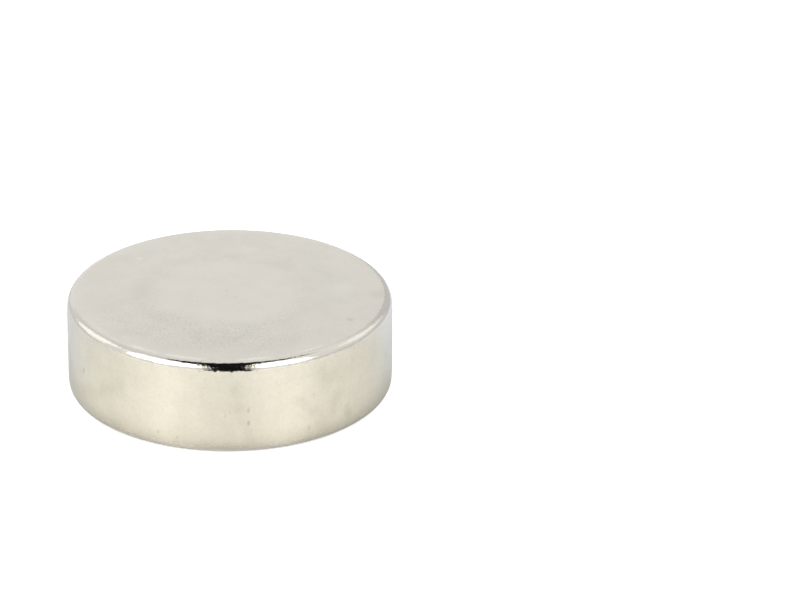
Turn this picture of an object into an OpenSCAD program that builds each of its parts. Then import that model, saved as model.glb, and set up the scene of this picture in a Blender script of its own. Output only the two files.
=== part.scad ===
// Disc magnet: one solid cylinder of sintered magnet alloy under bright nickel plate.
// It lies on a pole face. The origin is the centre of that face, and +Z is the magnet's axis.
// Lengths are in millimetres.

/* [Disc] */
// Outside diameter of the rim
disc_diameter = 20; // [4:0.5:60]
// Thickness from one pole face to the other
disc_thickness = 6; // [2:0.5:30]

/* [Edges] */
// Radius that tumbling leaves where the upper pole face meets the rim
upper_edge_radius = 0.5; // [0.05:0.05:0.9]
// Radius that tumbling leaves where the lower pole face meets the rim
lower_edge_radius = 0.5; // [0.05:0.05:0.9]

/* [Quality] */
// Straight lines in a full circle when the disc is drawn as a mesh
circle_steps = 180; // [24:12:360]

/* [Hidden] */
$fn = circle_steps;
disc_radius = disc_diameter / 2;
nickel = [0.83, 0.81, 0.76];

// Half of the disc's section, between its axis and its rim.
// Each edge is a quarter round that is tangent to its pole face and to the rim.
module half_section() {
    lower_flat = disc_radius - lower_edge_radius;
    upper_flat = disc_radius - upper_edge_radius;
    upper_edge_height = disc_thickness - upper_edge_radius;

    // The rim's straight wall
    translate([0, lower_edge_radius])
        square([disc_radius, upper_edge_height - lower_edge_radius]);
    // The lower pole face and its edge
    square([lower_flat, lower_edge_radius]);
    translate([lower_flat, lower_edge_radius])
        circle(r = lower_edge_radius);
    // The upper pole face and its edge
    translate([0, upper_edge_height])
        square([upper_flat, upper_edge_radius]);
    translate([upper_flat, upper_edge_height])
        circle(r = upper_edge_radius);
}

// The whole magnet: the section turned about its axis
module magnet_disc() {
    color(nickel)
        rotate_extrude()
            half_section();
}

magnet_disc();
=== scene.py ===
import math

import bpy
from mathutils import Matrix, Vector


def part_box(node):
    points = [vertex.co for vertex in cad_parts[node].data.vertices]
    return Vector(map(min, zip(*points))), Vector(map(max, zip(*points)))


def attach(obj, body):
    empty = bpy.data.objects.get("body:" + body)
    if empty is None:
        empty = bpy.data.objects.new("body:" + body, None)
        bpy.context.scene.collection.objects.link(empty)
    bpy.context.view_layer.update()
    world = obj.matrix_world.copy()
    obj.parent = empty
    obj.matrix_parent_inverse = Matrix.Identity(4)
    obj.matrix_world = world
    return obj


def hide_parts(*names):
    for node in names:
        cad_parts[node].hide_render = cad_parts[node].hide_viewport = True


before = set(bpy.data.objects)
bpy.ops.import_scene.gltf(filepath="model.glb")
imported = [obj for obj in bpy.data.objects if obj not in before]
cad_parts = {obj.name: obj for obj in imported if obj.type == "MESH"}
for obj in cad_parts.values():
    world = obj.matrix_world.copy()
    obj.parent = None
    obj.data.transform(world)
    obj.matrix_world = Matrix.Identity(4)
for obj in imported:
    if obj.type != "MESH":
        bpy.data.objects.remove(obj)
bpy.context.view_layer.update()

mm = 0.001              # the frame is in metres
roundingError = 1e-7    # metres
low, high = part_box("magnet_disc")
discRadius = (high.x - low.x) / 2
discThickness = high.z - low.z
discCentre = (low + high) / 2
# the flat of the pole face ends where the edge round starts
faceRadius = max(math.hypot(v.co.x, v.co.y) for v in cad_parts["magnet_disc"].data.vertices
                 if v.co.z > high.z - roundingError)
edgeRadius = discRadius - faceRadius
print(f"frame: disc {discRadius * 2 / mm:.2f} x {discThickness / mm:.2f} mm, edge {edgeRadius / mm:.2f} mm")


def addNode(tree, kind, inputs=None, **settings):
    # inputs: socket name or index to a value, or to the output that feeds it
    node = tree.nodes.new(kind)
    for name, value in settings.items():
        setattr(node, name, value)
    for key, value in (inputs or {}).items():
        if isinstance(value, bpy.types.NodeSocket):
            tree.links.new(value, node.inputs[key])
        else:
            node.inputs[key].default_value = value
    return node


def calc(tree, operation, *values, clamp=False):
    node = addNode(tree, "ShaderNodeMath", dict(enumerate(values)), operation=operation, use_clamp=clamp)
    return node.outputs[0]


def times(tree, first, *others):
    for other in others:
        first = calc(tree, "MULTIPLY", first, other)
    return first


def plus(tree, first, *others):
    for other in others:
        first = calc(tree, "ADD", first, other)
    return first


def minus(tree, first, second):
    return calc(tree, "SUBTRACT", first, second)


def vectorCalc(tree, operation, *values):
    node = addNode(tree, "ShaderNodeVectorMath", dict(enumerate(values)), operation=operation)
    return node.outputs["Value" if operation in ("LENGTH", "DOT_PRODUCT") else "Vector"]


def scaled(tree, vector, factor):
    return addNode(tree, "ShaderNodeVectorMath", {0: vector, "Scale": factor}, operation="SCALE").outputs[0]


def ramp(tree, value, span, result=(0.0, 1.0)):
    # an S-shaped step: from the first result to the second, as the value crosses the span
    node = addNode(tree, "ShaderNodeMapRange",
                   {"Value": value, "From Min": span[0], "From Max": span[1], "To Min": result[0],
                    "To Max": result[1]},
                   interpolation_type="SMOOTHSTEP")
    return node.outputs["Result"]


def noise(tree, vector, scale, detail=2.0, roughness=0.5):
    node = addNode(tree, "ShaderNodeTexNoise",
                   {"Vector": vector, "Scale": scale, "Detail": detail, "Roughness": roughness})
    return node.outputs[0]


def evenNoise(tree, vector, scale, detail, roughness):
    # noise that is 0 on average
    return minus(tree, noise(tree, vector, scale, detail, roughness), 0.5)


def mixColour(tree, factor, first, second):
    return addNode(tree, "ShaderNodeMix", {0: factor, 6: first, 7: second}, data_type="RGBA").outputs[2]


def mixValue(tree, factor, first, second):
    return addNode(tree, "ShaderNodeMix", {0: factor, 2: first, 3: second}, data_type="FLOAT").outputs[0]


def split(tree, vector):
    # height, distance from the axis, and the vector without its height
    xyz = addNode(tree, "ShaderNodeSeparateXYZ", {0: vector}).outputs
    flat = addNode(tree, "ShaderNodeCombineXYZ", {"X": xyz["X"], "Y": xyz["Y"]}).outputs[0]
    return xyz["Z"], vectorCalc(tree, "LENGTH", flat), flat


def edgeCloseness(tree, vector, radius, thickness):
    # 0 at the corner that the edge round cuts off, and the edge's radius at both borders of the round
    height, across, _ = split(tree, vector)
    fromRim = minus(tree, radius, across)
    fromFace = calc(tree, "MINIMUM", height, minus(tree, thickness, height))
    return calc(tree, "MAXIMUM", fromRim, fromFace)


def onRim(angle, height, radius=discRadius / mm):
    # a point on the rim in millimetres; angle 0 faces -Y and grows towards +X
    a = math.radians(angle)
    return Vector((radius * math.sin(a), -radius * math.cos(a), height))


def newGroup(name, inputs, outputs):
    # inputs: name to default number, or to None for a vector; outputs: names, all of them plain numbers
    group = bpy.data.node_groups.new(name, "ShaderNodeTree")
    for title, value in inputs.items():
        kind = "NodeSocketVector" if value is None else "NodeSocketFloat"
        socket = group.interface.new_socket(title, in_out="INPUT", socket_type=kind)
        if value is not None:
            socket.default_value = value
    for title in outputs:
        group.interface.new_socket(title, in_out="OUTPUT", socket_type="NodeSocketFloat")
    return group, group.nodes.new("NodeGroupInput").outputs, group.nodes.new("NodeGroupOutput").inputs


def useGroup(tree, group, **values):
    # puts a group in a material; a space in a socket's name is written as _ here
    values = {key.replace("_", " "): value for key, value in values.items()}
    return addNode(tree, "ShaderNodeGroup", values, node_tree=group).outputs


# effects that both nickel finishes share, with every length in millimetres

def makeTumbledEdge():
    # Edge: 1 on the round that tumbling has polished; the second output is the mask of a painted highlight, a
    # bright line just inside its border
    group, given, out = newGroup(
        "tumbledEdge",
        {"Vector": None, "Disc Radius": 10.0, "Thickness": 6.0, "Edge Radius": 0.5, "Wander": 0.06,
         "Softness": 0.03, "Line Width": 0.36, "Fray": 0.30},
        ["Edge", "Painted Highlight"])
    vector, width = given["Vector"], given["Line Width"]
    noiseSwing = 4.0  # brings the usual swing of the slow noise to about 1
    near = edgeCloseness(group, vector, given["Disc Radius"], given["Thickness"])
    slow = evenNoise(group, vector, scale=1.1, detail=3.0, roughness=0.65)
    near = plus(group, near, times(group, slow, times(group, given["Wander"], noiseSwing)))
    fine = evenNoise(group, vector, scale=4.5, detail=2.0, roughness=0.6)
    near = plus(group, near, times(group, fine, given["Fray"]))
    past = minus(group, near, given["Edge Radius"])
    softStart = times(group, given["Softness"], -1.0)
    group.links.new(ramp(group, past, (softStart, given["Softness"]), (1.0, 0.0)), out["Edge"])
    # the line is brightest a little past the middle of its width
    rise = ramp(group, past, (given["Softness"], times(group, width, 0.5)))
    fall = ramp(group, past, (times(group, width, 0.6), width), (1.0, 0.0))
    group.links.new(times(group, rise, fall), out["Painted Highlight"])
    return group


def makeTumbleRipple():
    # height of the fine unevenness that tumbling leaves: it runs along the edge, and is finer across it
    group, given, out = newGroup(
        "tumbleRipple",
        {"Vector": None, "Mid Height": 3.0, "Length": 0.32, "Width": 0.15},
        ["Height"])
    height, across, flat = split(group, given["Vector"])
    # how far round its section a point lies: it grows from the face to the rim
    fromMiddle = calc(group, "ABSOLUTE", minus(group, height, given["Mid Height"]))
    aroundSection = times(group, minus(group, across, fromMiddle), given["Length"])
    aroundSection = calc(group, "DIVIDE", aroundSection, given["Width"])
    along = addNode(group, "ShaderNodeCombineXYZ", {"Z": aroundSection}).outputs[0]
    spot = vectorCalc(group, "ADD", flat, along)
    perLength = calc(group, "DIVIDE", 1.0, given["Length"])
    group.links.new(noise(group, spot, perLength, detail=3.0, roughness=0.6), out["Height"])
    return group


def makePlateGrain():
    # the fine crystalline grain of the plate: its height, an even tone, and the darker specks in it
    group, given, out = newGroup(
        "plateGrain",
        {"Vector": None, "Size": 0.16},
        ["Height", "Tone", "Specks"])
    vector = given["Vector"]
    cellShare = 0.3                         # of the height; the rest is noise
    coarseScale, coarseShare = 0.62, 0.5    # the specks gather where the coarser noise is high too
    perSize = calc(group, "DIVIDE", 1.0, given["Size"])
    fine = noise(group, vector, perSize, detail=2.0, roughness=0.6)
    cells = addNode(group, "ShaderNodeTexVoronoi", {"Vector": vector, "Scale": perSize}).outputs["Distance"]
    coarse = noise(group, vector, times(group, perSize, coarseScale), detail=1.0, roughness=0.5)
    height = plus(group, times(group, fine, 1 - cellShare), times(group, cells, cellShare))
    both = plus(group, fine, times(group, coarse, coarseShare))
    group.links.new(height, out["Height"])
    group.links.new(ramp(group, fine, (0.30, 0.70)), out["Tone"])
    group.links.new(ramp(group, both, (0.78, 0.98)), out["Specks"])
    return group


def makeSmudgeAndPaintedShade():
    # a soft patch along the line from one place to another, broken up by cloudy noise
    group, given, out = newGroup(
        "smudgeAndPaintedShade",
        {"Vector": None, "Start": None, "End": None, "Reach": 2.0, "Break Up": 0.5},
        ["Mask"])
    noiseSwing = 2.5  # a Break Up of 1 moves the border by about a reach
    fromStart = vectorCalc(group, "SUBTRACT", given["Vector"], given["Start"])
    line = vectorCalc(group, "SUBTRACT", given["End"], given["Start"])
    along = calc(group, "DIVIDE", vectorCalc(group, "DOT_PRODUCT", fromStart, line),
                 vectorCalc(group, "DOT_PRODUCT", line, line), clamp=True)
    away = vectorCalc(group, "LENGTH", vectorCalc(group, "SUBTRACT", fromStart, scaled(group, line, along)))
    cloud = evenNoise(group, given["Vector"], scale=0.9, detail=4.0, roughness=0.6)
    shift = times(group, cloud, times(group, given["Break Up"], given["Reach"]), noiseSwing)
    away = plus(group, away, shift)
    group.links.new(ramp(group, away, (0.0, given["Reach"]), (1.0, 0.0)), out["Mask"])
    return group


tumbledEdge = makeTumbledEdge()
tumbleRipple = makeTumbleRipple()
plateGrain = makePlateGrain()
smudgeAndPaintedShade = makeSmudgeAndPaintedShade()


def newMaterial(name, **constants):
    # a Principled material with those constants, and Object coordinates in millimetres
    material = bpy.data.materials.new(name)
    material.use_nodes = True
    tree = material.node_tree
    shader = tree.nodes["Principled BSDF"]
    for key, value in constants.items():
        shader.inputs[key.replace("_", " ")].default_value = value
    objectSpace = addNode(tree, "ShaderNodeTexCoord").outputs["Object"]
    inMillimetres = addNode(tree, "ShaderNodeMapping", {"Vector": objectSpace, "Scale": (1 / mm,) * 3})
    return material, tree, shader, inMillimetres.outputs["Vector"]


def edgeMasks(tree, vector, p):
    return useGroup(tree, tumbledEdge, Vector=vector, Disc_Radius=discRadius / mm,
                    Thickness=discThickness / mm, Edge_Radius=edgeRadius / mm,
                    Wander=p["wander"], Softness=p["softness"])


def finishNickel(tree, shader, vector, edge, grain, colour, rough, p):
    # the polished edge over either finish, and the bump of both
    colour = mixColour(tree, edge, colour, p["edgeNickel"])
    rough = mixValue(tree, edge, rough, p["edgeRoughness"])
    ripple = useGroup(tree, tumbleRipple, Vector=vector, Mid_Height=discThickness / mm / 2)["Height"]
    ripple = minus(tree, ripple, 0.5)  # level on average, so that no step stands at the border
    plain = times(tree, grain["Height"], p["grainDepth"] * mm)
    tumbled = plus(tree, times(tree, ripple, p["rippleDepth"] * mm),
                   times(tree, grain["Height"], p["edgeGrainDepth"] * mm))
    bump = addNode(tree, "ShaderNodeBump", {"Height": mixValue(tree, edge, plain, tumbled), "Distance": 1.0})
    tree.links.new(colour, shader.inputs["Base Color"])
    tree.links.new(rough, shader.inputs["Roughness"])
    tree.links.new(bump.outputs["Normal"], shader.inputs["Normal"])


poleFace = {
    "nickel": (0.734, 0.702, 0.635, 1),
    "haze": (0.574, 0.548, 0.480, 1),       # the duller plate of specks and patches
    "light": (0.800, 0.780, 0.725, 1),      # the lighter marks
    "edgeNickel": (0.700, 0.672, 0.615, 1),
    "paintedHighlight": (0.840, 0.812, 0.755, 1),  # painted highlight: the bright line where the face starts to turn down
    "grazingTint": (0.950, 0.955, 0.965, 1),
    "roughness": 0.30,
    "hazeRoughness": 0.08,                  # added where the plate is duller
    "edgeRoughness": 0.0,
    "middle": (-0.25, 0.15, 0.0),           # mm, the middle of the clean area
    "ring": (3.75, 5.6, 8.0, 9.2),          # mm, the duller ring round it: start, full, fading, end
    "ringEnd": 0.35,                        # what is left of the ring past its end
    "ringHaze": 0.05,
    "lobes": 1.4,                           # mm, how far the ring's borders wander
    "fray": 0.8,                            # mm, how far the grain frays them
    "band": (5.2, 6.4, 0.13),               # mm and haze, more of it just outside the clean area: full, end
    "front": (-10, 0.01),                   # degrees and haze, and more towards the front
    "clouds": 0.18,
    "middleClouds": 0.14,
    "loops": 0.07,                          # faint outlines of dried drops
    "grain": 0.16,
    "frontGrain": 0.28,
    "frontSpecks": 0.24,
    # marks and patches: x and y in mm, reach in mm, strength (below 0 is lighter)
    "marks": [(-0.2, 0.45, 0.22, 0.35), (0.35, -0.45, 0.35, 0.22), (7.3, -3.9, 0.38, 0.6),
              (-2.0, -0.4, 0.18, 0.25), (-2.1, -5.8, 1.5, 0.13), (0.3, -6.4, 1.3, 0.13),
              (-5.5, 0.2, 2.2, 0.13), (-0.5, 5.7, 1.8, 0.07), (9.1, -0.2, 0.9, 0.26),
              (7.6, -3.4, 1.6, 0.10), (-5.6, 5.3, 0.40, -0.75), (-3.4, 5.5, 0.70, -0.22),
              (1.1, 6.6, 0.9, -0.16), (6.9, 0.6, 1.6, -0.28)],
    "markBreakUp": 0.4,
    "grainSize": 0.13,
    "grainDepth": 0.0010,                   # mm, as the next two
    "edgeGrainDepth": 0.0015,
    "rippleDepth": 0.014,
    "wander": 0.035,
    "softness": 0.02,
}


def faceMasks(tree, vector, grain, p):
    # the duller ring round the clean middle, its inner band and its front, and the dried drops' outlines
    _, across, flat = split(tree, vectorCalc(tree, "SUBTRACT", vector, p["middle"]))
    outward = vectorCalc(tree, "NORMALIZE", flat)
    lobes = times(tree, evenNoise(tree, vector, scale=0.55, detail=3.0, roughness=0.6), p["lobes"])
    frayed = times(tree, minus(tree, grain["Tone"], 0.5), p["fray"])
    wandering = plus(tree, across, plus(tree, lobes, frayed))
    inner, full, fade, end = p["ring"]
    started = ramp(tree, wandering, (inner, full))
    ring = times(tree, started, ramp(tree, wandering, (fade, end), (1.0, p["ringEnd"])))

    # the band comes and goes, and is weakest at the front and the back
    bandFull, bandEnd, _ = p["band"]
    band = times(tree, started, ramp(tree, wandering, (bandFull, bandEnd), (1.0, 0.0)))
    patchy = noise(tree, vector, scale=0.3, detail=2.0, roughness=0.6)
    band = times(tree, band, ramp(tree, patchy, (0.35, 0.6), (0.7, 1.0)))
    toSide = calc(tree, "ABSOLUTE", vectorCalc(tree, "DOT_PRODUCT", outward, (1.0, 0.0, 0.0)))
    band = times(tree, band, ramp(tree, toSide, (0.35, 0.95), (0.25, 1.0)))

    facing = vectorCalc(tree, "DOT_PRODUCT", outward, onRim(p["front"][0], 0.0, radius=1.0))
    front = times(tree, ring, ramp(tree, facing, (0.05, 1.0)))
    swirl = calc(tree, "ABSOLUTE", evenNoise(tree, vector, scale=0.42, detail=1.5, roughness=0.5))
    loops = times(tree, ramp(tree, swirl, (0.005, 0.05), (1.0, 0.0)),
                  ramp(tree, facing, (-0.5, 0.3), (1.0, 0.2)), ring)
    return ring, band, front, loops, facing


def makePoleFaceNickel(p):
    material, tree, shader, vector = newMaterial("poleFaceNickel", Metallic=1.0,
                                                 Specular_Tint=p["grazingTint"])
    grain = useGroup(tree, plateGrain, Vector=vector, Size=p["grainSize"])
    edge = edgeMasks(tree, vector, p)
    ring, band, front, loops, facing = faceMasks(tree, vector, grain, p)
    clouds = ramp(tree, noise(tree, vector, scale=0.6, detail=4.0, roughness=0.6), (0.35, 0.68))

    haze = times(tree, clouds, mixValue(tree, ring, p["middleClouds"], p["clouds"]))
    for mask, strength in ((ring, p["ringHaze"]), (band, p["band"][2]), (front, p["front"][1]),
                           (loops, p["loops"]), (times(tree, grain["Specks"], front), p["frontSpecks"]),
                           (times(tree, grain["Tone"], front), p["frontGrain"]), (grain["Tone"], p["grain"])):
        haze = plus(tree, haze, times(tree, mask, strength))
    light = 0.0
    for x, y, reach, strength in p["marks"]:
        place = (x, y, discThickness / mm)
        mask = useGroup(tree, smudgeAndPaintedShade, Vector=vector, Start=place, End=place, Reach=reach,
                        Break_Up=p["markBreakUp"])["Mask"]
        mask = times(tree, mask, abs(strength))
        if strength > 0:
            haze = plus(tree, haze, mask)
        else:
            light = calc(tree, "MAXIMUM", light, mask)

    colour = mixColour(tree, calc(tree, "MINIMUM", haze, 1.0), p["nickel"], p["haze"])
    colour = mixColour(tree, light, colour, p["light"])
    # the painted highlight line shows here and there at the front
    here = ramp(tree, noise(tree, vector, scale=0.5, detail=2.0), (0.35, 0.6))
    shown = times(tree, ramp(tree, facing, (0.55, 0.85)), here)
    colour = mixColour(tree, times(tree, edge["Painted Highlight"], shown), colour, p["paintedHighlight"])
    rough = plus(tree, p["roughness"], times(tree, haze, p["hazeRoughness"]))
    finishNickel(tree, shader, vector, edge["Edge"], grain, colour, rough, p)
    return material


rim = {
    "nickel": (0.706, 0.681, 0.600, 1),
    # the duller plate; the patches of painted shade take this colour too
    "haze": (0.557, 0.528, 0.445, 1),
    "dent": (0.430, 0.400, 0.340, 1),
    # painted shade: the rim's half of the polished edge rounds is a darker copy of the pole faces' edgeNickel
    "edgeNickel": (0.672, 0.643, 0.584, 1),
    "grazingTint": (0.925, 0.955, 1.000, 1),
    "roughness": 0.278,
    "grindStretch": 0.25,       # fine grinding lines round the rim draw reflections out along the axis
    "grindTurn": 0.25,          # turns
    "hazeRoughness": 0.03,
    "edgeRoughness": 0.0,
    "clouds": 0.28,
    "cloudShape": (1.0, 1.0, 1.5),      # wider than high
    "streaks": 0.12,
    "streakShape": (1.0, 1.0, 0.25),    # drawn out along the axis
    "specks": 0.10,
    "evenGrain": 0.17,
    # soft patches, each along a line: angle from the front in degrees and height in mm at its two ends,
    # reach in mm, strength; the last three lie behind. The first three are painted shade, the mirrored edge
    # of a shadow on the floor at the left; the four between 25 and 46 degrees below 3.2 mm are painted shade
    # from a shadow on the floor at the right; the rest are dull patches of the plate
    "dullPatchesAndPaintedShade": [(-42, 3.4, -49, 2.7, 0.8, 0.25), (-52, 2.3, -62, 1.75, 0.8, 0.27),
                (-64, 1.6, -74, 1.1, 0.9, 0.22), (-84, 3.0, -74, 2.2, 0.9, 0.20),
                (1.5, 4.4, 2.5, 3.0, 0.6, 0.24), (3, 2.6, 6.5, 1.1, 0.6, 0.24),
                (25, 3.1, 29, 2.3, 0.5, 0.26), (30, 2.0, 34, 1.2, 0.9, 0.27),
                (40, 2.8, 38, 1.9, 0.75, 0.34), (44.5, 1.7, 45.5, 1.1, 0.4, 0.42),
                (33, 4.8, 37, 4.0, 1.0, 0.30), (52, 4.7, 60, 4.3, 1.4, 0.16),
                (110, 4.3, 140, 2.9, 1.6, 0.26), (-128, 1.8, -146, 3.2, 1.4, 0.26),
                (170, 1.4, 178, 4.2, 1.1, 0.26)],
    "patchBreakUp": 0.5,
    "grainSize": 0.16,
    "grainDepth": 0.0,          # mm, as the next two; the ground rim is smooth
    "edgeGrainDepth": 0.0015,
    "rippleDepth": 0.014,
    "wander": 0.035,
    "softness": 0.02,
}


def makeRimNickel(p):
    material, tree, shader, vector = newMaterial("rimNickel", Metallic=1.0, Specular_Tint=p["grazingTint"],
                                                 Anisotropic=p["grindStretch"],
                                                 Anisotropic_Rotation=p["grindTurn"])
    grain = useGroup(tree, plateGrain, Vector=vector, Size=p["grainSize"])
    edge = edgeMasks(tree, vector, p)

    flattened = vectorCalc(tree, "MULTIPLY", vector, p["cloudShape"])
    clouds = ramp(tree, noise(tree, flattened, scale=0.7, detail=5.0, roughness=0.62), (0.25, 0.85))
    drawnOut = vectorCalc(tree, "MULTIPLY", vector, p["streakShape"])
    streaks = ramp(tree, noise(tree, drawnOut, scale=1.3, detail=2.0), (0.30, 0.80))
    haze = plus(tree, times(tree, clouds, p["clouds"]), times(tree, streaks, p["streaks"]))
    # dull patches of the plate, and patches of painted shade where a shadow on the floor is mirrored
    for startAngle, startHeight, endAngle, endHeight, reach, strength in p["dullPatchesAndPaintedShade"]:
        mask = useGroup(tree, smudgeAndPaintedShade, Vector=vector, Start=onRim(startAngle, startHeight),
                        End=onRim(endAngle, endHeight), Reach=reach, Break_Up=p["patchBreakUp"])["Mask"]
        haze = plus(tree, haze, times(tree, mask, strength))
    haze = plus(tree, haze, times(tree, grain["Specks"], p["specks"]))
    haze = calc(tree, "ADD", haze, times(tree, grain["Tone"], p["evenGrain"]), clamp=True)
    dent = addNode(tree, "ShaderNodeAttribute", attribute_name="dent").outputs["Fac"]

    colour = mixColour(tree, haze, p["nickel"], p["haze"])
    colour = mixColour(tree, dent, colour, p["dent"])
    rough = plus(tree, p["roughness"], times(tree, haze, p["hazeRoughness"]))
    finishNickel(tree, shader, vector, edge["Edge"], grain, colour, rough, p)
    return material


poleFaceNickel = makePoleFaceNickel(poleFace)
rimNickel = makeRimNickel(rim)
print("materials ready")


# the disc: its section turned about the axis by Geometry Nodes

disc = {
    "segments": 960,        # round the rim
    "edgeSteps": 14,        # along each edge round
    "faceRings": 10,
    "wallRings": 40,
    "edgeWaves": 0.010,     # mm, slow waves that tumbling leaves on the edge rounds
    "edgeRipple": 0.003,    # mm, finer ones
    "shoulder": 0.035,      # mm, how far tumbling has also worn the metal just beside the rounds
    "dentDepth": 0.012,     # mm
    # dents on the rim: angle in degrees, height in mm, half width in mm, strength
    "dents": [(6.0, 2.05, 0.125, 1.0), (6.0, 2.9, 0.11, 0.8), (28.0, 1.15, 0.12, 0.75),
              (-63.0, 3.05, 0.15, 0.9), (-26.0, 1.05, 0.09, 0.6), (-19.0, 0.9, 0.08, 0.8),
              (30.0, 3.3, 0.08, 0.5), (44.0, 1.3, 0.12, 0.35), (-2.0, 2.6, 0.07, 0.5)],
    "dentShape": (1.0, 1.0, 0.5),       # twice as high as wide
    # more of them at random over the rim and the edge rounds
    "scatteredDents": 22,
    "scatteredHalfWidth": (0.045, 0.08),
    "scatteredStrength": (0.15, 0.45),
    "seed": 7,
}

discInputs = {"Marks": "Geometry", "Radius": "Float", "Thickness": "Float", "Edge Radius": "Float",
              "Segments": "Int", "Edge Steps": "Int", "Face Rings": "Int", "Wall Rings": "Int",
              "Edge Waves": "Float", "Edge Ripple": "Float", "Shoulder": "Float", "Dent Depth": "Float",
              "Scattered Dents": "Float", "Seed": "Int", "Face Material": "Material",
              "Rim Material": "Material"}


def sectionLine(tree, start, end, count, easing):
    # a straight part of the section, with its points closer together where the shape turns
    crowding, middleShare = 2.2, 0.4
    line = addNode(tree, "GeometryNodeCurvePrimitiveLine", {"Start": start, "End": end})
    line = addNode(tree, "GeometryNodeResampleCurve", {"Curve": line.outputs["Curve"], "Count": count})
    along = addNode(tree, "GeometryNodeSplineParameter").outputs["Factor"]
    if easing == "end":
        along = minus(tree, 1.0, calc(tree, "POWER", minus(tree, 1.0, along), crowding))
    elif easing == "start":
        along = calc(tree, "POWER", along, crowding)
    else:
        along = mixValue(tree, middleShare, along, ramp(tree, along, (0.0, 1.0)))
    spot = addNode(tree, "ShaderNodeMix", {0: along, 4: start, 5: end}, data_type="VECTOR").outputs[1]
    return addNode(tree, "GeometryNodeSetPosition",
                   {"Geometry": line.outputs["Curve"], "Position": spot}).outputs[0]


def sectionRound(tree, centre, radius, startAngle, steps):
    # a quarter round of the section
    arc = addNode(tree, "GeometryNodeCurveArc",
                  {"Resolution": steps, "Radius": radius, "Start Angle": startAngle,
                   "Sweep Angle": -math.pi / 2}).outputs[0]
    return addNode(tree, "GeometryNodeTransform", {"Geometry": arc, "Translation": centre}).outputs[0]


def turnedShell(tree, given):
    # the section lies in its own plane: x from the rim outwards, y downwards
    def spot(x, y):
        return addNode(tree, "ShaderNodeCombineXYZ", {"X": x, "Y": y}).outputs[0]

    radius, edge = given["Radius"], given["Edge Radius"]
    axis = times(tree, radius, -1.0)
    inset = times(tree, edge, -1.0)
    top = times(tree, given["Thickness"], -1.0)
    highEdge = plus(tree, top, edge)
    parts = [
        sectionLine(tree, spot(axis, 0.0), spot(inset, 0.0), given["Face Rings"], "end"),
        sectionRound(tree, spot(inset, inset), edge, math.pi / 2, given["Edge Steps"]),
        sectionLine(tree, spot(0.0, inset), spot(0.0, highEdge), given["Wall Rings"], "both"),
        sectionRound(tree, spot(inset, highEdge), edge, 0.0, given["Edge Steps"]),
        sectionLine(tree, spot(inset, top), spot(axis, top), given["Face Rings"], "start"),
    ]
    section = tree.nodes.new("GeometryNodeJoinGeometry")
    for part in parts:
        tree.links.new(part, section.inputs[0])
    circle = addNode(tree, "GeometryNodeCurvePrimitiveCircle",
                     {"Resolution": given["Segments"], "Radius": radius}).outputs["Curve"]
    shell = addNode(tree, "GeometryNodeCurveToMesh",
                    {"Curve": circle, "Profile Curve": section.outputs[0]}).outputs[0]
    # the parts' ends become one, and so do the points on the axis
    reach = 0.0005 * mm
    shell = addNode(tree, "GeometryNodeMergeByDistance", {"Geometry": shell, "Distance": reach}).outputs[0]
    return addNode(tree, "GeometryNodeFlipFaces", {"Mesh": shell}).outputs[0]


def edgeWear(tree, given):
    # how deep tumbling has worn each point: slow waves and finer ripple on the rounds, and their shoulders
    roundBorder, shoulderSpan = (0.75, 1.15), (-0.4, 2.5)  # shares of the edge radius
    spot = scaled(tree, addNode(tree, "GeometryNodeInputPosition").outputs[0], 1 / mm)
    near = edgeCloseness(tree, spot, calc(tree, "DIVIDE", given["Radius"], mm),
                         calc(tree, "DIVIDE", given["Thickness"], mm))
    edge = calc(tree, "DIVIDE", given["Edge Radius"], mm)
    onRound = ramp(tree, near, [times(tree, edge, share) for share in roundBorder], (1.0, 0.0))
    besideRound = ramp(tree, near, [times(tree, edge, share) for share in shoulderSpan], (1.0, 0.0))
    waves = times(tree, noise(tree, spot, scale=1.5, detail=1.0), given["Edge Waves"])
    ripple = times(tree, noise(tree, spot, scale=4.0, detail=1.0), given["Edge Ripple"])
    return plus(tree, times(tree, plus(tree, waves, ripple), onRound),
                times(tree, besideRound, given["Shoulder"]))


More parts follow.
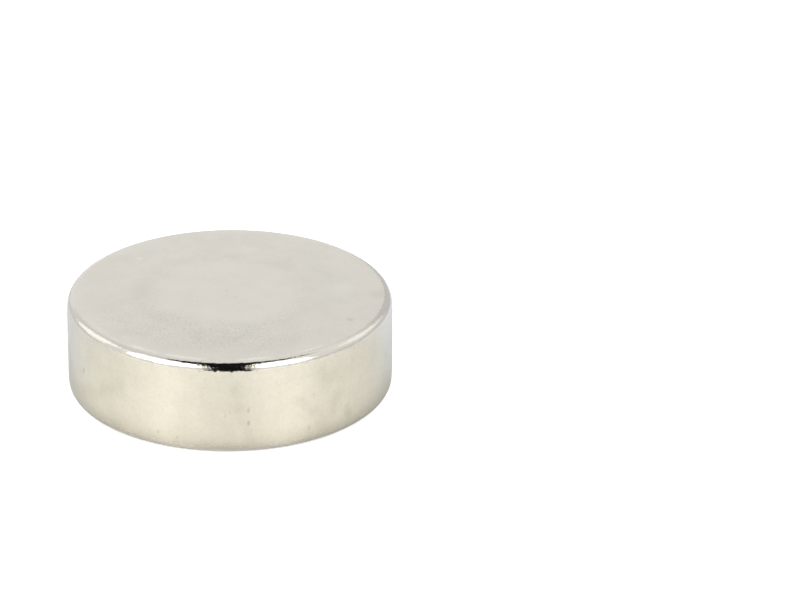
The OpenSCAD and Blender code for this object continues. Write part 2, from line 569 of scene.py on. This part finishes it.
def addDents(tree, given, shell, facesUp, p):
    # how deep in the nearest dent each point lies, from 0 to 1
    poleSlope, dentFloor = 0.9, 0.1  # where the pole faces begin; the flat of a dent, in half widths
    area = times(tree, given["Radius"], given["Thickness"], 2 * math.pi)
    offThePoles = calc(tree, "LESS_THAN", facesUp, poleSlope)
    scattered = addNode(tree, "GeometryNodeDistributePointsOnFaces",
                        {"Mesh": shell, "Selection": offThePoles,
                         "Density": calc(tree, "DIVIDE", given["Scattered Dents"], area),
                         "Seed": given["Seed"]}).outputs["Points"]
    least, most = p["scatteredHalfWidth"]
    for name, start, end in (("halfWidth", least * mm, most * mm), ("strength", *p["scatteredStrength"])):
        drawn = addNode(tree, "FunctionNodeRandomValue", {2: start, 3: end, "Seed": given["Seed"]},
                        data_type="FLOAT").outputs[1]
        scattered = addNode(tree, "GeometryNodeStoreNamedAttribute",
                            {"Geometry": scattered, "Name": name, "Value": drawn},
                            data_type="FLOAT", domain="POINT").outputs[0]
    chosen = addNode(tree, "GeometryNodeMeshToPoints", {"Mesh": given["Marks"]}).outputs[0]
    joined = tree.nodes.new("GeometryNodeJoinGeometry")
    tree.links.new(scattered, joined.inputs[0])
    tree.links.new(chosen, joined.inputs[0])
    marks = joined.outputs[0]
    nearest = addNode(tree, "GeometryNodeSampleNearest", {"Geometry": marks}, domain="POINT").outputs[0]

    def ofNearest(value, kind):
        return addNode(tree, "GeometryNodeSampleIndex", {"Geometry": marks, "Value": value, "Index": nearest},
                       data_type=kind, domain="POINT").outputs[0]

    def named(name):
        return addNode(tree, "GeometryNodeInputNamedAttribute", {"Name": name}, data_type="FLOAT").outputs[0]

    here = addNode(tree, "GeometryNodeInputPosition").outputs[0]
    away = vectorCalc(tree, "SUBTRACT", here, ofNearest(here, "FLOAT_VECTOR"))
    away = vectorCalc(tree, "LENGTH", vectorCalc(tree, "MULTIPLY", away, p["dentShape"]))
    share = calc(tree, "DIVIDE", away, ofNearest(named("halfWidth"), "FLOAT"))
    depth = ramp(tree, share, (dentFloor, 1.0), (1.0, 0.0))
    return times(tree, depth, ofNearest(named("strength"), "FLOAT"))


def makeDiscTree(p):
    tree = bpy.data.node_groups.new("turnedDisc", "GeometryNodeTree")
    tree.interface.new_socket("Geometry", in_out="OUTPUT", socket_type="NodeSocketGeometry")
    for title, kind in discInputs.items():
        tree.interface.new_socket(title, in_out="INPUT", socket_type="NodeSocket" + kind)
    given = tree.nodes.new("NodeGroupInput").outputs
    normal = addNode(tree, "GeometryNodeInputNormal").outputs[0]
    facesUp = calc(tree, "ABSOLUTE", addNode(tree, "ShaderNodeSeparateXYZ", {0: normal}).outputs["Z"])

    # wear and dents push the shell inwards, never outwards
    shell = turnedShell(tree, given)
    dent = addDents(tree, given, shell, facesUp, p)
    sink = plus(tree, edgeWear(tree, given), times(tree, dent, given["Dent Depth"]))
    shell = addNode(tree, "GeometryNodeStoreNamedAttribute",
                    {"Geometry": shell, "Name": "dent", "Value": dent},
                    data_type="FLOAT", domain="POINT").outputs[0]
    push = scaled(tree, normal, times(tree, sink, -1.0))
    shell = addNode(tree, "GeometryNodeSetPosition", {"Geometry": shell, "Offset": push}).outputs[0]
    shell = addNode(tree, "GeometryNodeSetShadeSmooth", {"Geometry": shell}).outputs[0]

    # the pole faces' finish reaches half way down each edge round, where both finishes are alike
    faceward = calc(tree, "GREATER_THAN", facesUp, math.sqrt(0.5))
    shell = addNode(tree, "GeometryNodeRealizeInstances", {"Geometry": shell}).outputs[0]
    shell = addNode(tree, "GeometryNodeSetMaterial",
                    {"Geometry": shell, "Material": given["Rim Material"]}).outputs[0]
    shell = addNode(tree, "GeometryNodeSetMaterial",
                    {"Geometry": shell, "Selection": faceward, "Material": given["Face Material"]}).outputs[0]
    tree.links.new(shell, tree.nodes.new("NodeGroupOutput").inputs[0])
    return tree


def makeMarks(name, dents):
    # one loose point for each listed dent
    mesh = bpy.data.meshes.new(name)
    mesh.from_pydata([onRim(dent[0], dent[1]) * mm for dent in dents], [], [])
    sizes = mesh.attributes.new("halfWidth", "FLOAT", "POINT")
    strengths = mesh.attributes.new("strength", "FLOAT", "POINT")
    for i, (_, _, halfWidth, strength) in enumerate(dents):
        sizes.data[i].value = halfWidth * mm
        strengths.data[i].value = strength
    return mesh


def makeDisc(p):
    piece = bpy.data.objects.new("nickel_disc", makeMarks("nickel_disc", p["dents"]))
    bpy.context.scene.collection.objects.link(piece)
    modifier = piece.modifiers.new("turnedDisc", "NODES")
    modifier.node_group = makeDiscTree(p)
    # a line has one point more than it has steps
    values = {"Radius": discRadius, "Thickness": discThickness, "Edge Radius": edgeRadius,
              "Segments": p["segments"], "Edge Steps": p["edgeSteps"] + 1, "Face Rings": p["faceRings"] + 1,
              "Wall Rings": p["wallRings"] + 1, "Edge Waves": p["edgeWaves"] * mm,
              "Edge Ripple": p["edgeRipple"] * mm, "Shoulder": p["shoulder"] * mm,
              "Dent Depth": p["dentDepth"] * mm, "Scattered Dents": float(p["scatteredDents"]),
              "Seed": p["seed"], "Face Material": poleFaceNickel, "Rim Material": rimNickel}
    for item in modifier.node_group.interface.items_tree:
        if item.in_out == "INPUT" and item.name in values:
            modifier[item.identifier] = values[item.name]
    depsgraph = bpy.context.evaluated_depsgraph_get()
    mesh = bpy.data.meshes.new_from_object(piece.evaluated_get(depsgraph), preserve_all_data_layers=True,
                                           depsgraph=depsgraph)
    piece.modifiers.clear()
    piece.data = mesh
    mesh.transform(Matrix.Translation((0, 0, low.z)))
    return piece


nickelDisc = makeDisc(disc)
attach(nickelDisc, "root")
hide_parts("magnet_disc")
print(f"disc: {len(nickelDisc.data.vertices)} vertices, {len(nickelDisc.data.polygons)} faces")


studio = {
    "floorHalf": 0.8,           # metres
    "floorGap": 0.01,           # mm below the disc
    "floorColour": (0.80, 0.80, 0.80, 1),
    "floorGlow": 0.62,          # added for the camera, so that the lit floor reads as white
    "sheen": 0.08,              # the paper's own gloss
    "sheenRoughness": 0.30,
    # the floor as the metal mirrors it
    "mirrorColour": (0.73, 0.73, 0.73, 1),  # a little darker, so that the disc's shade is deeper there
    "frontGlow": 0.39,          # added in front of the disc
    "sideGlow": 0.15,           # and beside and behind it; both fade in the disc's own shade
    "shadeReach": 3.4,          # mm, how far that shade reaches out from the rim
    "standShade": 0.30,         # less of it straight in front, where the camera's stand shades the floor
    "rearRightGlow": 0.09,      # more of it behind the disc at the right
    "rearTint": (0.95, 1.07, 1.42, 1),      # behind the disc the glow is cooler
    "contactShade": 0.74,       # what is left of floor and glow close in front of the rim
    "rearContactShade": 0.97,   # and close behind it
    "contactReach": 1.8,        # mm, where that ends
    "underGlow": 0.50,          # under the disc, for the lower pole face alone
    "borderGlow": 0.07,         # and under the lower edge round
    "backdrop": 1.0,            # the world as camera and metal see it
    "ambient": 0.40,            # and as it lights everything
    "satinShare": 0.08,         # how much of each lamp the satin faces mirror
    # lamps: azimuth, elevation and distance of the middle, width and height in metres, roll, radiance, colour
    "lamps": {
        "lampLeft": (-50, 41.5, 0.38, 0.37, 0.29, 6, 1.9, (1.0, 0.96, 0.86)),
        "lampLeftMiddle": (-48, 40, 0.37, 0.10, 0.27, 0, 4.0, (1.0, 0.96, 0.86)),
        "lampRight": (36, 42.5, 0.38, 0.27, 0.335, 10, 1.7, (1.0, 0.96, 0.86)),
        "lampRightMiddle": (39.5, 40, 0.37, 0.12, 0.27, 0, 2.8, (1.0, 0.96, 0.86)),
        "lampFarLeft": (-117, 31, 0.38, 0.20, 0.22, 0, 0.58, (1.0, 0.985, 0.90)),
        "lampFarRight": (119, 37, 0.38, 0.22, 0.14, 0, 0.24, (1.0, 0.985, 0.90)),
    },
    # grey screens round the disc: azimuths, elevations and how bright the metal sees them
    "screens": {
        "screenLeft": (-165, -99, 26, 64, 0.85),
        "screenLeftLow": (-150, -99, -2, 26, 0.86),
        "screenRight": (138, 172, -2, 34, 0.72),
        "screenRightHigh": (140, 176, 34, 42, 0.84),
        "screenRightLow": (56, 138, -2, 17, 0.82),
    },
    "screenRadius": 0.50,
    "screenSteps": 16,
    # dark cards, for the camera and its arm, bent over the disc: the stem is given by elevation, left and
    # right side as shares of the radius; each half of the crossbar by side, first and last elevation
    "cardColour": (0.012, 0.012, 0.014, 1),
    "cardRadius": 0.34,
    "stem": [(0, -0.285, 0.26), (14, -0.280, 0.240), (28, -0.270, 0.215), (44, -0.280, 0.225),
             (60, -0.300, 0.225), (96, -0.300, 0.215)],
    "stemSteps": 6,             # between one row and the next
    "stemFoot": 0.015,          # where the stem ends on the floor
    "footHeight": 0.3,          # mm above the floor
    "crossbar": [(-0.40, 67, 102), (0.39, 93, 111)],
    "crossbarShare": 0.98,      # of the radius, so that it hangs just inside the stem
    "crossbarSteps": 24,
}


def fromFront(azimuth, elevation, distance):
    a, e = math.radians(azimuth), math.radians(elevation)
    direction = Vector((math.sin(a) * math.cos(e), -math.cos(a) * math.cos(e), math.sin(e)))
    return discCentre + distance * direction


def studioMaterial(name):
    material = bpy.data.materials.new(name)
    material.use_nodes = True
    material.node_tree.nodes.clear()
    return material, material.node_tree


def connectOutput(tree, shader):
    tree.links.new(shader.outputs[0], tree.nodes.new("ShaderNodeOutputMaterial").inputs["Surface"])


def inRadii(start, end):
    return start * discRadius, end * discRadius


def pastRim(start, end):
    # millimetres outwards from the rim
    return discRadius + start * mm, discRadius + end * mm


def mirroredFloor(tree, away, sideways, rearward, p):
    # for the metal's reflections: what the floor adds, and how much of its own colour is kept
    shadeStart = ramp(tree, rearward, inRadii(-1.0, 0.2), pastRim(0.0, -1.2))
    glow = times(tree, ramp(tree, away, (shadeStart, discRadius + p["shadeReach"] * mm)),
                 ramp(tree, rearward, inRadii(-2.8, 0.5), (p["frontGlow"], p["sideGlow"])))
    standShade = times(tree, ramp(tree, rearward, inRadii(-0.9, 0.0), (p["standShade"], 0.0)),
                       ramp(tree, calc(tree, "ABSOLUTE", sideways), inRadii(0.0, 0.85), (1.0, 0.0)))
    glow = times(tree, glow, minus(tree, 1.0, standShade))
    rearRight = times(tree, ramp(tree, rearward, inRadii(-0.3, 0.3), (0.0, p["rearRightGlow"])),
                      ramp(tree, sideways, inRadii(0.2, 0.9)), ramp(tree, away, pastRim(-1.0, 1.5)))
    glow = plus(tree, glow, rearRight)

    # close to the rim it is darker, and under the disc the floor has a glow of its own
    underDisc = ramp(tree, away, pastRim(-0.15, 0.10), (1.0, 0.0))
    deepest = ramp(tree, rearward, inRadii(-0.8, 0.1), (p["contactShade"], p["rearContactShade"]))
    kept = ramp(tree, away, pastRim(0.6, p["contactReach"]), (deepest, 1.0))
    kept = calc(tree, "MAXIMUM", kept, underDisc)
    underGlow = times(tree, ramp(tree, away, (faceRadius - 0.10 * mm, faceRadius + 0.10 * mm),
                                 (p["underGlow"], p["borderGlow"])), underDisc)
    return plus(tree, times(tree, glow, kept), underGlow), kept


def makePaper(p):
    material, tree = studioMaterial("floorPaper")
    path = tree.nodes.new("ShaderNodeLightPath").outputs
    spot = addNode(tree, "ShaderNodeTexCoord").outputs["Object"]
    away = vectorCalc(tree, "LENGTH", vectorCalc(tree, "MULTIPLY", spot, (1, 1, 0)))
    xyz = addNode(tree, "ShaderNodeSeparateXYZ", {0: spot}).outputs
    mirrorGlow, kept = mirroredFloor(tree, away, xyz["X"], xyz["Y"], p)

    paperColour = mixColour(tree, path["Is Glossy Ray"], p["floorColour"],
                            mixColour(tree, kept, (0, 0, 0, 1), p["mirrorColour"]))
    dull = addNode(tree, "ShaderNodeBsdfDiffuse", {"Color": paperColour})
    sheen = addNode(tree, "ShaderNodeBsdfGlossy", {"Roughness": p["sheenRoughness"]})
    paper = addNode(tree, "ShaderNodeMixShader", {0: p["sheen"], 1: dull.outputs[0], 2: sheen.outputs[0]})
    glow = plus(tree, times(tree, path["Is Camera Ray"], p["floorGlow"]),
                times(tree, path["Is Glossy Ray"], mirrorGlow))
    behind = times(tree, ramp(tree, xyz["Y"], inRadii(-0.5, 0.8)), ramp(tree, away, pastRim(-0.2, 0.2)),
                   path["Is Glossy Ray"])
    glowColour = mixColour(tree, behind, (1, 1, 1, 1), p["rearTint"])
    shine = addNode(tree, "ShaderNodeEmission", {"Color": glowColour, "Strength": glow})
    both = addNode(tree, "ShaderNodeAddShader", {0: paper.outputs[0], 1: shine.outputs[0]})
    # seen from below the paper is open, so the lower pole face shows
    backside = tree.nodes.new("ShaderNodeNewGeometry").outputs["Backfacing"]
    clear = tree.nodes.new("ShaderNodeBsdfTransparent")
    connectOutput(tree, addNode(tree, "ShaderNodeMixShader",
                                {0: backside, 1: both.outputs[0], 2: clear.outputs[0]}))
    return material


def makeFloor(p):
    mesh = bpy.data.meshes.new("floor")
    h = p["floorHalf"]
    z = low.z - p["floorGap"] * mm
    mesh.from_pydata([(-h, -h, z), (h, -h, z), (h, h, z), (-h, h, z)], [], [(0, 1, 2, 3)])
    mesh.materials.append(makePaper(p))
    floor = bpy.data.objects.new("floor", mesh)
    bpy.context.scene.collection.objects.link(floor)


def addBoard(name, material, points):
    # a strip of paired points, which the metal sees and the camera doesn't
    faces = [(i, i + 1, i + 3, i + 2) for i in range(0, len(points) - 2, 2)]
    mesh = bpy.data.meshes.new(name)
    mesh.from_pydata(points, [], faces)
    mesh.materials.append(material)
    board = bpy.data.objects.new(name, mesh)
    board.visible_camera = False
    board.visible_shadow = False
    bpy.context.scene.collection.objects.link(board)
    return board


def addAreaLight(name, place, aim, width, height, radiance, colour, forMetal):
    lamp = bpy.data.lights.new(name, "AREA")
    lamp.shape = "RECTANGLE"
    lamp.size, lamp.size_y = width, height
    lamp.energy = radiance * math.pi * width * height
    lamp.color = colour
    holder = bpy.data.objects.new(name, lamp)
    holder.location = place
    holder.rotation_euler = aim.to_euler()
    holder.visible_camera = False
    holder.visible_diffuse = not forMetal
    holder.visible_glossy = forMetal
    bpy.context.scene.collection.objects.link(holder)
    return lamp


def lightSatinLess(lamp, satinShare):
    # only a share of it at the first surface, and all of it at what that surface mirrors
    lamp.cycles.use_multiple_importance_sampling = False
    lamp.use_nodes = True
    tree = lamp.node_tree
    depth = tree.nodes.new("ShaderNodeLightPath").outputs["Ray Depth"]
    share = ramp(tree, depth, (1.0, 2.0), (satinShare, 1.0))
    tree.links.new(share, tree.nodes["Emission"].inputs["Strength"])


def makeEdgeMaterial(name, radiance, colour):
    # light that only a perfect mirror shows
    material, tree = studioMaterial(name)
    mirrored = tree.nodes.new("ShaderNodeLightPath").outputs["Is Singular Ray"]
    shine = addNode(tree, "ShaderNodeEmission",
                    {"Color": (*colour, 1), "Strength": times(tree, mirrored, radiance)})
    clear = tree.nodes.new("ShaderNodeBsdfTransparent")
    connectOutput(tree, addNode(tree, "ShaderNodeAddShader", {0: shine.outputs[0], 1: clear.outputs[0]}))
    material.cycles.emission_sampling = "NONE"
    return material


def makeLamp(name, azimuth, elevation, distance, width, height, roll, radiance, colour, satinShare):
    # Each lamp is three things in one place. One lights the floor. One is what the satin faces mirror, which
    # get only a share of it, so that they don't burn out from any side. The board is what the polished edge
    # mirrors.
    place = fromFront(azimuth, elevation, distance)
    aim = (discCentre - place).to_track_quat("-Z", "Y").to_matrix()
    aim = aim @ Matrix.Rotation(math.radians(roll), 3, "Z")
    addAreaLight(name, place, aim, width, height, radiance, colour, forMetal=False)
    metalLamp = addAreaLight(name + "ForMetal", place, aim, width, height, radiance, colour, forMetal=True)
    lightSatinLess(metalLamp, satinShare)
    corners = [place + aim @ Vector((x * width / 2, y * height / 2, 0))
               for x, y in ((-1, -1), (1, -1), (-1, 1), (1, 1))]
    board = addBoard(name + "InEdge", makeEdgeMaterial(name, radiance, colour), corners)
    board.visible_diffuse = False


def makeCards(p):
    # only the mirror-like edge shows the cards, so that the satin faces stay light from every side
    dark, tree = studioMaterial("darkCard")
    felt = addNode(tree, "ShaderNodeBsdfDiffuse", {"Color": p["cardColour"]})
    clear = tree.nodes.new("ShaderNodeBsdfTransparent")
    mirrored = tree.nodes.new("ShaderNodeLightPath").outputs["Is Singular Ray"]
    connectOutput(tree, addNode(tree, "ShaderNodeMixShader",
                                {0: mirrored, 1: clear.outputs[0], 2: felt.outputs[0]}))

    def bent(side, elevation, radius):
        # a point of a card that is bent over the disc
        e = math.radians(elevation)
        return side * radius, -radius * math.cos(e), discCentre.z + radius * math.sin(e)

    r = p["cardRadius"]
    stem = []
    for (start, left, right), (end, nextLeft, nextRight) in zip(p["stem"], p["stem"][1:]):
        for i in range(p["stemSteps"]):
            t = i / p["stemSteps"]
            for side, nextSide in ((left, nextLeft), (right, nextRight)):
                stem.append(bent(side + (nextSide - side) * t, start + (end - start) * t, r))
    addBoard("cardStem", dark, stem + [bent(side, end, r) for side in (nextLeft, nextRight)])
    crossbar = []
    for i in range(p["crossbarSteps"] + 1):
        for side, start, end in p["crossbar"]:
            elevation = start + (end - start) * i / p["crossbarSteps"]
            crossbar.append(bent(side, elevation, r * p["crossbarShare"]))
    addBoard("cardCrossbar", dark, crossbar)
    z = low.z + p["footHeight"] * mm
    addBoard("cardFoot", dark, [(side * y, -y, z) for y in (p["stemFoot"], r) for side in p["stem"][0][1:]])


def makeScreens(p):
    radius, steps = p["screenRadius"], p["screenSteps"]
    for name, (left, right, start, end, level) in p["screens"].items():
        material, tree = studioMaterial(name)
        connectOutput(tree, addNode(tree, "ShaderNodeEmission", {"Strength": level}))
        points = []
        for i in range(steps + 1):
            azimuth = left + (right - left) * i / steps
            points += [fromFront(azimuth, start, radius), fromFront(azimuth, end, radius)]
        screen = addBoard(name, material, points)
        screen.visible_diffuse = False


def makeWorld(p):
    world = bpy.data.worlds.new("studio")
    bpy.context.scene.world = world
    world.use_nodes = True
    tree = world.node_tree
    path = tree.nodes.new("ShaderNodeLightPath").outputs
    seen = calc(tree, "ADD", plus(tree, path["Is Camera Ray"], path["Is Glossy Ray"]),
                path["Is Transmission Ray"], clamp=True)
    background = tree.nodes["Background"]
    background.inputs["Color"].default_value = (1, 1, 1, 1)
    tree.links.new(mixValue(tree, seen, p["ambient"], p["backdrop"]), background.inputs["Strength"])


makeFloor(studio)
makeCards(studio)
makeScreens(studio)
for name, values in studio["lamps"].items():
    makeLamp(name, *values, studio["satinShare"])
makeWorld(studio)
print("studio ready")


view = {
    "distance": 0.30,       # metres, as the clip
    "elevation": 25.52,     # degrees, as the next three
    "roll": -0.537,
    "pan": 2.0,             # how far the lens then turns to the right of the disc's centre
    "tilt": 0.444,          # and above it
    "lens": 218.8,          # mm, as the sensor
    "sensorWidth": 36,
    "clip": (0.01, 10),
}


def makeCamera(p):
    data = bpy.data.cameras.new("camera")
    data.sensor_width = p["sensorWidth"]
    data.lens = p["lens"]
    data.clip_start, data.clip_end = p["clip"]
    camera = bpy.data.objects.new("camera", data)
    bpy.context.scene.collection.objects.link(camera)
    eye = fromFront(0, p["elevation"], p["distance"])
    camera.matrix_world = (Matrix.Translation(eye)
                           @ (discCentre - eye).to_track_quat("-Z", "Y").to_matrix().to_4x4()
                           @ Matrix.Rotation(math.radians(p["roll"]), 4, "Z")
                           @ Matrix.Rotation(math.radians(-p["pan"]), 4, "Y")
                           @ Matrix.Rotation(math.radians(p["tilt"]), 4, "X"))
    bpy.context.scene.camera = camera


makeCamera(view)
bpy.context.scene.view_settings.view_transform = "Standard"
print("camera ready")
